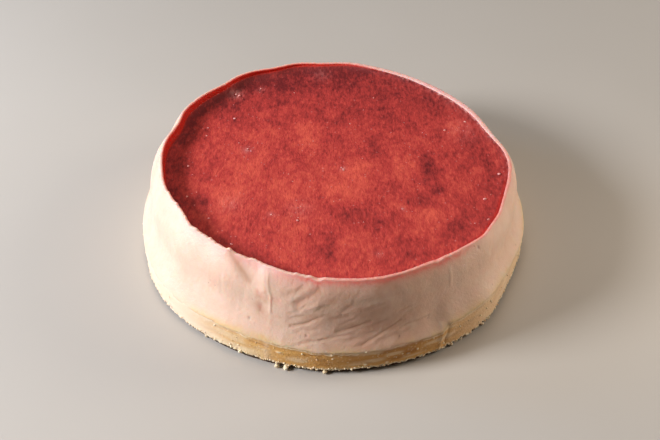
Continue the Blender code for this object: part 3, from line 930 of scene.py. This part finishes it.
def lip(azimuth, high, outer):
    """Rows over the lip and down its inner face, each with what it is coloured by."""
    inner = hollow_radius(azimuth)
    wide = hill(turn(azimuth, LIP_THICK_AZIMUTH), LIP_THICK_SPREAD)
    red, juicy = fading(azimuth, *RED_LIP), fading(azimuth, *JUICY_LIP)
    rows, facts = [], []
    for angle in np.radians((30, 60, 90, 120, 150, 180)):
        radius = (outer + inner) / 2 + (outer - inner) / 2 * math.cos(angle)
        height = high + LIP_ROUNDING * math.sin(angle)
        place = on_ring(azimuth, radius, height)
        rough = wide * 0.25 * cloud(place, 1.4, 71) * math.sin(angle)
        past = (1 - math.cos(angle)) / 2
        blush = 0.06 + 0.08 * wide + 0.4 * red + 0.3 * past * (1 - wide)
        blush = np.clip(blush + 0.12 * cloud(place, 2, 72), 0, 1)
        juice = np.clip((past - 0.62) * 2.2, 0, 1) * juicy
        rows.append(on_ring(azimuth, radius, height + rough))
        facts.append({"pink": 0.3 + 0.6 * wide, "blush": blush, "juice": juice})
    foot = fruit_height(*on_ring(azimuth, inner, 0)[..., :2].T)
    for share in (0.12, 0.3, 0.5, 0.7, 0.85, 1.0):
        height = high + (foot - 0.4 - high) * share
        bulge = 0.15 * cloud(on_ring(azimuth, inner, height), 3.0, 73)
        juice = np.clip(0.35 + 0.65 * juicy + 0.6 * share - 0.3 * wide, 0, 1)
        rows.append(on_ring(azimuth, inner + bulge, height))
        facts.append({"pink": 0.8, "blush": 0.55 - 0.3 * wide, "juice": juice})
    rows.append(on_ring(azimuth, inner, foot - FRUIT_DEPTH))
    return rows, facts


def cream():
    """The cream: creased side, thin lip with a juice-stained inner face, hidden hollow."""
    azimuth = np.arange(CREAM_SEGMENTS) * 360 / CREAM_SEGMENTS
    low = seam_height(azimuth) + SEAM_GAP
    high = rim_height(azimuth) - LIP_ROUNDING
    side, facts = cream_side(azimuth, low, high)
    under = [
        on_ring(azimuth, CRUST_INNER, CRUST_HEIGHT + SEAM_GAP),
        on_ring(azimuth, crust_radius(azimuth) - LEDGE, low - 0.02),
    ]
    upper, coloured = lip(azimuth, high, np.hypot(side[-1][:, 0], side[-1][:, 1]))
    none = np.zeros(CREAM_SEGMENTS)
    given = {
        key: np.concatenate([[none, none], values, [none + row.get(key, 0) for row in coloured], [none + 1]])
        for key, values in facts.items()
    }
    rows = np.concatenate([under, side, upper])
    floor = fruit_height(0, 0) - FRUIT_DEPTH
    made = closed_rings("cream", rows, (0, 0, CRUST_HEIGHT + SEAM_GAP), (0, 0, floor), given)
    finished(made, cream_material(), "cream_filling")


def edge_break(azimuth):
    """(height of the biscuit's broken lower edge, how ragged it is)."""
    ring = on_ring(azimuth, CRUST_RADIUS, 0)
    wander = pushed(EDGE_WANDER, [EDGE_ROUGH], azimuth)
    noise = cloud(ring, 2.2, 81) + 0.7 * cloud(ring, 0.9, 82)
    return pushed(EDGE_BREAK, EDGE_CLEAR, azimuth) + wander * noise, wander


def pale_lumps(azimuth, height):
    lumps = np.zeros(height.shape)
    for at, level, wide, size in PALE_LUMPS:
        lumps += hill(np.hypot(turn(azimuth, at) * ARC / wide, height - level), size)
    return lumps


def biscuit_rows(azimuth):
    """Side of the biscuit: a broken lower edge over an undercut coloured near black as painted shade, then
    pressed grains.
    """
    seam = seam_height(azimuth)
    broken, wander = edge_break(azimuth)
    near = np.repeat(np.array(EDGE_ROWS)[:, None], len(azimuth), axis=1)
    share = np.append(np.linspace(0, 1, BISCUIT_ROWS)[1:-1], (0.997, 1.0))[:, None]
    height = np.concatenate([near, EDGE_ROWS[-1] + (seam - EDGE_ROWS[-1]) * share])
    up, down = height - broken, seam - height
    azimuth = np.broadcast_to(azimuth, height.shape)
    plain = crust_radius(azimuth) - np.interp(height, CRUST_PROFILE_HEIGHTS, CRUST_PROFILE_INSETS)
    plain = plain - crease_depth(*warped(azimuth, height), PLAIN_CREASES)
    place = on_ring(azimuth, plain, height)
    outside = eased(up, -0.12, 0.15)
    lump, tone = pebbles(place, 1.5, 83)
    grain, shade = pebbles(place, 0.8, 84)
    loose = 1 - eased(up, 0.6, 2.6)
    relief = (0.06 + 0.2 * loose) * (lump - 0.5) + (0.03 + 0.14 * loose) * (grain - 0.5)
    relief = relief + 0.12 * cloud(place, 6, 85) + 0.10 * cloud(place * (0.2, 0.2, 1.3), 1.8, 86)
    ragged = 0.7 * hill(up - 0.3, 0.4) * (lump - 0.35) * (1 + wander)
    thread = eased(cloud(place * (0.3, 0.3, 0), 2.2, 87), -0.1, 0.4)
    thread = thread * fading(azimuth, FAR_LEFT, 24, 40)
    ridge = hill(down - 0.9 - 0.4 * cloud(place * (1, 1, 0), 4, 88), 0.3) * thread
    crack = hill(down - 0.5 - 0.3 * cloud(place * (1, 1, 0), 3, 90), 0.18) * thread
    lumps, cracks = pale_lumps(azimuth, height), seam_cracks(azimuth, height)
    radius = plain + relief * (0.4 + 0.6 * eased(down, 0, 1.0)) + ragged
    radius = radius - UNDERCUT * (1 - outside) + 0.2 * ridge + 0.5 * lumps
    radius = radius - 0.15 * crack - 0.2 * cracks

    # Painted light: the biscuit is made creamier on the far left and paler on its lower left, where the key
    # light strikes it.
    left = fading(azimuth, FAR_LEFT, 50, 24)
    painted_lit_foot = 0.85 * (1 - eased(height - 4 * hill(turn(azimuth, 255), 6), 5, 9))
    painted_lit_foot = fading(azimuth, *PAINTED_LIT_FOOT) * (0.15 + painted_lit_foot)
    glow = eased(cloud(place * (0.22, 0.22, 0.8), 2.0, 92), -0.1, 0.6) * eased(height, 3.5, 5.5)
    # pale holds the biscuit's pale broken edge, pale grains, ridges and lumps, and painted light on the lit
    # lower left.
    pale = 1.4 * hill(up - 0.35, 0.5) * (0.75 + 0.25 * tone)
    pale = pale + 0.45 * eased(shade, 0.88, 0.97) * eased(grain, 0.3, 0.6)
    for other in (0.62 * painted_lit_foot, 0.9 * ridge * (0.5 + 0.5 * tone), 0.4 * glow, lumps):
        pale = np.maximum(pale, other)
    streak = eased(cloud(place * (0.25, 0.25, 0.9), 1.8, 89), -0.1, 0.6)
    # Browner around azimuth 286, where the side turns from the light, is painted shade; less brown near 250,
    # on the lit side, is painted light. The streaks are the biscuit's own.
    brown_and_painted_shade = 0.62 * hill(turn(azimuth, 286), 15) + 0.4 * streak
    brown_and_painted_shade = brown_and_painted_shade * (1 - 0.6 * hill(turn(azimuth, 250), 9)) * eased(height, 3.0, 6.0)
    brown_and_painted_shade = brown_and_painted_shade + 0.35 * eased(down, 3.5, 0.5)
    brown_and_painted_shade = np.maximum(brown_and_painted_shade, np.maximum(0.8 * crack, cracks))
    # Less brown on the lit left is painted light; full brown below the broken edge is painted shade of the
    # undercut.
    brown_and_painted_shade = np.maximum(brown_and_painted_shade * (1 - 0.6 * np.maximum(left, painted_lit_foot)), 1.3 * (1 - outside))
    right = np.maximum(0.55 * fading(azimuth, *CREAMY_CRUST), 0.4 * np.exp(-down / 0.6))
    # Creamy over the far left is painted highlight, where the light washes the biscuit out.
    creamy_and_painted_highlight = 0.9 * left + right + 0.3 * marked(azimuth, height, [CREAMY_SEAM])
    facts = {
        "pale": np.clip(pale, 0, 1),
        "brown_and_painted_shade": np.clip(brown_and_painted_shade, 0, 1),
        "creamy_and_painted_highlight": np.clip(creamy_and_painted_highlight, 0, 1) * outside,
        # The undercut below the broken edge, near black as painted shade
        "under": 0.97 * (1 - outside),
    }
    return on_ring(azimuth, radius, height), facts


def biscuit():
    azimuth = np.arange(BISCUIT_SEGMENTS) * 360 / BISCUIT_SEGMENTS
    rows, facts = biscuit_rows(azimuth)
    ledge = on_ring(azimuth, crust_radius(azimuth) - LEDGE, seam_height(azimuth) - 0.02)
    inner = on_ring(azimuth, CRUST_INNER, CRUST_HEIGHT)
    rows = np.concatenate([rows, ledge[None], inner[None]])
    ends = np.zeros((2, BISCUIT_SEGMENTS))
    given = {key: np.concatenate([values, ends]) for key, values in facts.items()}
    made = closed_rings("biscuit", rows, (0, 0, 0), (0, 0, CRUST_HEIGHT), given)
    finished(made, biscuit_material("biscuit_finish"), "biscuit_base")
    return made


def lump(name, centres, seed, squash=1.0):
    """One mesh of crumbs or crystals. centres is a list of (x, y, z, radius)."""
    draw = np.random.default_rng(seed)
    ball = bpy.data.meshes.new("ball")
    shape = bmesh.new()
    bmesh.ops.create_icosphere(shape, subdivisions=3, radius=1)
    shape.to_mesh(ball)
    shape.free()
    plain = np.array([vertex.co for vertex in ball.vertices])
    faces = np.array([list(face.vertices) for face in ball.polygons])
    bpy.data.meshes.remove(ball)
    points, corners, tones = [], [], []
    for index, (x, y, z, radius) in enumerate(centres):
        turned = plain @ spin(draw)
        own = plain + 10 * index
        rough = 1 + 0.22 * cloud(own, 0.7, seed + 1) + 0.08 * cloud(own, 0.3, seed + 2)
        size = np.array((1, draw.uniform(0.75, 1), squash * draw.uniform(0.75, 0.95)))
        points.append(turned * rough[:, None] * size * radius + (x, y, z))
        corners.append(faces + len(plain) * index)
        tones.append(np.full(len(plain), draw.uniform(0, 1)))
    given = {"pale": np.concatenate(tones) * 0.3 + 0.7}
    return piece(name, np.concatenate(points), np.concatenate(corners).tolist(), given)


def spin(draw):
    """A random turn, as a matrix."""
    matrix, _ = np.linalg.qr(draw.normal(size=(3, 3)))
    if np.linalg.det(matrix) < 0:
        matrix[:, 0] *= -1
    return matrix


def foot_crumbs():
    centres = []
    for azimuth, radius, out in FOOT_CRUMBS:
        reach = crust_radius(azimuth) - EDGE_INSET + out
        centres.append((*on_ring(np.float64(azimuth), reach, radius * 0.95), radius))
    made = lump("foot_crumbs", centres, FOOT_CRUMB_SEED)
    finished(made, biscuit_material("crumb_finish"))


def disc_grid(count):
    """A square grid drawn to a disc of radius 1, as x and y."""
    side = np.linspace(-1, 1, count + 1)
    across, up = np.meshgrid(side, side)
    return across * np.sqrt(1 - up * up / 2), up * np.sqrt(1 - across * across / 2)


def fruit_facts(place, azimuth, gap):
    """How light, how frosted and how wet the fruit is. gap is the distance to the lip."""
    x, y = place[..., 0], place[..., 1]
    tone, frost = np.zeros(x.shape), np.zeros(x.shape)
    for at_x, at_y, wide, deep, size in FRUIT_PATCHES:
        tone += size * hill(np.hypot((x - at_x) / wide, (y - at_y) / deep), 0.85)
    for at_x, at_y, radius, size in FROST_SPOTS:
        frost = np.maximum(frost, size * hill(np.hypot(x - at_x, y - at_y), radius))
    wall, front = fading(azimuth, *WET_WALL), fading(azimuth, *PAINTED_LIP_SHADOW)
    right = fading(azimuth, *WET_RIGHT) * (1 - eased(gap, 1.0, 2.4))
    wide = hill(turn(azimuth, FROSTED_LIP[0]), FROSTED_LIP[1])
    wet = wall * (0.7 * np.exp(-(gap / 0.45) ** 2) + 0.25 * np.exp(-gap / 1.2))
    tone = tone - 0.66 * eased(y, 20, 80) - 0.15 * eased(x, 30, 80) - 0.5 * right
    tone = tone - 0.62 * wall * (1 - eased(gap, 1.5, 11))
    # Painted shadow of the lip: darker along the front-left lip, and in a thin band along the rest of it
    tone = tone - 1.3 * front * np.exp(-gap / 2.6) - 0.7 * (1 - wide) * np.exp(-gap / 0.9)
    ragged = gap + 0.8 * cloud(place, 2.2, 104) + 0.5 * cloud(place, 0.9, 105)
    edge = wide * (2.2 * (1 - eased(ragged, 0.2, 1.5)) + 0.5 * np.exp(-gap / 3))
    wet = np.clip(np.maximum(wet, 0.35 * right), 0, 1)
    return {"tone": np.clip(tone, -1.2, 1.2), "frost": np.maximum(frost, edge), "wet": wet}


def fruit_surface(place, azimuth, share, gap):
    """Height of the fruit's uneven top, whose edge climbs the lip."""
    plain = fruit_height(place[..., 0], place[..., 1])
    swell = share ** 3 * np.sin(np.radians(3 * azimuth + 300 * share)) * eased(gap, 0, 8)
    relief = sum(size * cloud(place, wide, seed) for wide, size, seed in FRUIT_RELIEF)
    height = plain + FRUIT_SWELL * swell + relief * (0.3 + 0.7 * eased(gap, 0, 2))
    more = hill(turn(azimuth, CLIMB_AT), CLIMB_SPREAD)
    size = pushed(EDGE_CLIMB[0] + (EDGE_CLIMB[1] - EDGE_CLIMB[0]) * more, THICK_CLIMB, azimuth)
    width = EDGE_CLIMB_WIDTH[0] + (EDGE_CLIMB_WIDTH[1] - EDGE_CLIMB_WIDTH[0]) * more
    lip_foot = rim_height(azimuth) - LIP_ROUNDING - 0.25
    room = np.maximum(lip_foot - height, -0.3 * np.exp(-gap / 0.8))
    return height + np.minimum(size * np.exp(-gap / width), room)


def fruit():
    """The fruit layer: an even grid drawn to the hollow, closed by a wall and a floor."""
    u, v = disc_grid(FRUIT_CELLS)
    share = np.hypot(u, v)
    azimuth = np.degrees(np.arctan2(v, u)) % 360
    reach = hollow_radius(azimuth) + EDGE_HIDDEN
    gap = np.clip((1 - share) * reach - EDGE_HIDDEN, 0, None)
    place = np.stack([u * reach, v * reach, np.zeros(u.shape)], axis=-1)
    facts = fruit_facts(place, azimuth, gap)
    count = FRUIT_CELLS + 1
    index = np.arange(count * count).reshape(count, count)
    quads = np.stack([index[:-1, :-1], index[:-1, 1:], index[1:, 1:], index[1:, :-1]], axis=-1)
    border = np.concatenate([index[0, :-1], index[:-1, -1], index[-1, :0:-1], index[:0:-1, 0]])
    height = fruit_surface(place, azimuth, share, gap)
    top = np.dstack([place[..., :2], height]).reshape(-1, 3)
    floor = top[border].copy()
    floor[:, 2] = fruit_height(floor[:, 0], floor[:, 1]) - FRUIT_DEPTH + 0.1
    under = len(top) + np.arange(len(border))
    middle = np.full(len(under), len(top) + len(border))
    beside, under_beside = np.roll(border, -1), np.roll(under, -1)
    walls = np.stack([under, under_beside, beside, border], axis=-1)
    fan = np.stack([middle, under_beside, under], axis=-1)
    points = np.concatenate([top, floor, [(0, 0, FRUIT_TOP - FRUIT_DEPTH + 0.1)]])
    faces = quads.reshape(-1, 4).tolist() + walls.tolist() + fan.tolist()
    spare = np.zeros(len(points) - len(top))
    given = {key: np.concatenate([values.ravel(), spare]) for key, values in facts.items()}
    finished(piece("fruit", points, faces, given), fruit_material(), "fruit_layer")


def crystals():
    """Crystals seen in the photo, smaller ones strewn about, and some in each frosted spot."""
    centres = [(x, y, fruit_height(x, y) + 0.05, radius) for x, y, radius in CRYSTALS]
    draw = np.random.default_rng(CRYSTAL_SEED)
    for _ in range(SMALL_CRYSTALS):
        angle, reach = draw.uniform(0, 2 * math.pi), draw.uniform(0, 1)
        reach = CRYSTAL_REACH * math.sqrt(reach)
        x, y = reach * math.cos(angle), reach * math.sin(angle)
        centres.append((x, y, fruit_height(x, y) - 0.05, draw.uniform(0.18, 0.32)))
    for at_x, at_y, radius, share in FROST_SPOTS:
        for _ in range(round(5 * radius * share)):
            x, y = draw.normal((at_x, at_y), 0.45 * radius)
            centres.append((x, y, fruit_height(x, y) - 0.06, draw.uniform(0.14, 0.26)))
    made = lump("crystals", centres, CRYSTAL_SEED + 1, squash=0.7)
    finished(made, crystal_material())


# Scattered grains

def scatter_tree():
    """Grains strewn over a surface where its weight says, each with its own size and tone."""
    inputs = (
        ("Geometry", "NodeSocketGeometry", None), ("Per square metre", FLOAT, 1e6),
        ("Smallest", FLOAT, 0.0003), ("Largest", FLOAT, 0.0007), ("Seed", "NodeSocketInt", 1),
        ("Material", "NodeSocketMaterial", None),
    )
    tree, given, out = new_group(
        "strew", inputs, ("Geometry",), "GeometryNodeTree", "NodeSocketGeometry"
    )
    seed = given["Seed"]
    weight = add(tree, "GeometryNodeInputNamedAttribute", {"Name": "weight"}, data_type="FLOAT")
    density = times(tree, weight.outputs["Attribute"], given["Per square metre"])
    sockets = {"Mesh": given["Geometry"], "Density": density, "Seed": seed}
    points = add(tree, "GeometryNodeDistributePointsOnFaces", sockets).outputs["Points"]
    ball = add(tree, "GeometryNodeMeshIcoSphere", {"Radius": 1.0, "Subdivisions": 2})
    noise = add(tree, "ShaderNodeTexNoise", {"Scale": 1.3}).outputs["Color"]
    sockets = {0: noise, 1: (0.5, 0.5, 0.5)}
    shift = add(tree, "ShaderNodeVectorMath", sockets, operation="SUBTRACT").outputs[0]
    sockets = {"Geometry": ball.outputs["Mesh"], "Offset": shift}
    grain = add(tree, "GeometryNodeSetPosition", sockets).outputs["Geometry"]
    sockets = {1: (math.tau, math.tau, math.tau), "Seed": seed}
    turned = add(tree, "FunctionNodeRandomValue", sockets, data_type="FLOAT_VECTOR").outputs[0]
    sockets = {2: given["Smallest"], 3: given["Largest"], "Seed": seed}
    size = add(tree, "FunctionNodeRandomValue", sockets).outputs[1]
    sockets = {"Points": points, "Instance": grain, "Rotation": turned, "Scale": size}
    placed = add(tree, "GeometryNodeInstanceOnPoints", sockets).outputs["Instances"]
    tone = add(tree, "FunctionNodeRandomValue", {"Seed": seed}).outputs[1]
    toned = add(tree, "GeometryNodeStoreNamedAttribute", domain="INSTANCE", data_type="FLOAT")
    fill(tree, toned, {"Geometry": placed, "Name": "pale", "Value": tone})
    real = add(tree, "GeometryNodeRealizeInstances", {"Geometry": toned.outputs["Geometry"]})
    sockets = {"Geometry": real.outputs["Geometry"], "Material": given["Material"]}
    painted = add(tree, "GeometryNodeSetMaterial", sockets)
    fill(tree, out, {"Geometry": painted.outputs["Geometry"]})
    return tree


STREW = scatter_tree()


def strewn(name, surface, weight, material):
    """Grains over the surface, by the weight of each of its points."""
    ground = surface.copy()
    ground.data = surface.data.copy()
    ground.name = "ground"
    bpy.context.collection.objects.link(ground)
    layer = ground.data.attributes.new("weight", "FLOAT", "POINT")
    layer.data.foreach_set("value", weight.astype(np.float32))
    modifier = ground.modifiers.new("strew", "NODES")
    modifier.node_group = STREW
    values = {"Per square metre": GRAINS_PER_SQUARE_METRE, "Seed": GRAIN_SEED}
    values |= {"Smallest": GRAIN_SIZES[0] * MM, "Largest": GRAIN_SIZES[1] * MM}
    values["Material"] = material
    for item in STREW.interface.items_tree:
        if item.in_out == "INPUT" and item.name in values:
            modifier[item.identifier] = values[item.name]
    graph = bpy.context.evaluated_depsgraph_get()
    mesh = bpy.data.meshes.new_from_object(ground.evaluated_get(graph), depsgraph=graph)
    mesh.name = name
    bpy.data.objects.remove(ground, do_unlink=True)
    made = bpy.data.objects.new(name, mesh)
    bpy.context.collection.objects.link(made)
    mesh.shade_smooth()
    return made


def edge_grains(base):
    """Loose grains along the biscuit's broken edge, and a few on its side."""
    points = np.empty(len(base.data.vertices) * 3, np.float32)
    base.data.vertices.foreach_get("co", points)
    x, y, z = points.reshape(-1, 3).T / MM
    weight = hill(z - 2.7, 0.7) + 0.035 * (z > 2) * (z < 14.5)
    weight = np.where(np.hypot(x, y) > CRUST_RADIUS - 6, weight, 0)
    material = biscuit_material("grain_finish")
    finished(strewn("edge_grains", base, weight, material), material)


# The set

# Lights: name, azimuth, elevation, distance, size, strength, tint
LIGHTS = (
    ("key", 191, 29, 1.1, 0.34, 1.28, (0.975, 1.0, 1.05)),
    ("window", 166, 24, 1.3, 0.4, 0.24, (0.25, 0.55, 1.0)),
    ("fill", 12, 29, 1.2, 0.45, 0.34, (1, 0.92, 0.80)),
    ("near_fill", 350, 12, 0.3, 0.1, 0.11, (1, 0.86, 0.72)),
    ("above", 120, 80, 1.2, 0.7, 0.27, (1, 0.95, 0.88)),
)
FLOOR_COLOURS = (rgb(0.48, 0.43, 0.375), rgb(0.51, 0.46, 0.405))
FLOOR_REACH = 3.0
FLOOR_GAP = 0.0001
EYE = (-3.0, -376.9, 348.7)
EYE_TILT = 47.486


def softbox(name, azimuth, elevation, distance, size, strength, tint):
    """A soft area light. strength is how brightly a white card facing it would show."""
    light = bpy.data.lights.new(name, "AREA")
    light.shape = "DISK"
    light.size = size
    light.color = tint
    light.energy = strength * (math.pi * distance) ** 2
    lamp = bpy.data.objects.new(name, light)
    flat, up = math.radians(azimuth), math.radians(elevation)
    lamp.location = (
        distance * math.cos(up) * math.cos(flat),
        distance * math.cos(up) * math.sin(flat),
        distance * math.sin(up),
    )
    lamp.rotation_euler = (math.pi / 2 - up, 0, flat + math.pi / 2)
    lamp.visible_camera = False
    bpy.context.collection.objects.link(lamp)


def studio():
    mesh = bpy.data.meshes.new("floor")
    far = FLOOR_REACH
    corners = [(-far, -far, 0), (far, -far, 0), (far, far, 0), (-far, far, 0)]
    mesh.from_pydata(corners, [], [(0, 1, 2, 3)])
    floor = bpy.data.objects.new("floor", mesh)
    floor.location = (0, 0, -FLOOR_GAP)
    bpy.context.collection.objects.link(floor)
    material, tree, shader, place = new_material("floor_paint")
    clouds = use(tree, MOTTLE, place, 300.0, 40.0)["Broad"]
    fill(tree, shader, {"Base Color": mixed(tree, *FLOOR_COLOURS, clouds), "Roughness": 0.7})
    mesh.materials.append(material)
    for light in LIGHTS:
        softbox(*light)
    world = bpy.data.worlds.new("room")
    bpy.context.scene.world = world
    world.use_nodes = True
    room = world.node_tree
    fill(room, room.nodes["Background"], {"Color": rgb(1, 0.9, 0.8), "Strength": 0.05})
    bpy.context.scene.view_settings.view_transform = "Standard"


def camera():
    lens = bpy.data.cameras.new("camera")
    lens.lens = 50
    lens.sensor_width = 36
    lens.clip_start = 0.01
    eye = bpy.data.objects.new("camera", lens)
    eye.location = [place * MM for place in EYE]
    eye.rotation_euler = (math.radians(EYE_TILT), 0, 0)
    bpy.context.collection.objects.link(eye)
    bpy.context.scene.camera = eye


cream()
base = biscuit()
foot_crumbs()
edge_grains(base)
fruit()
crystals()
studio()
camera()
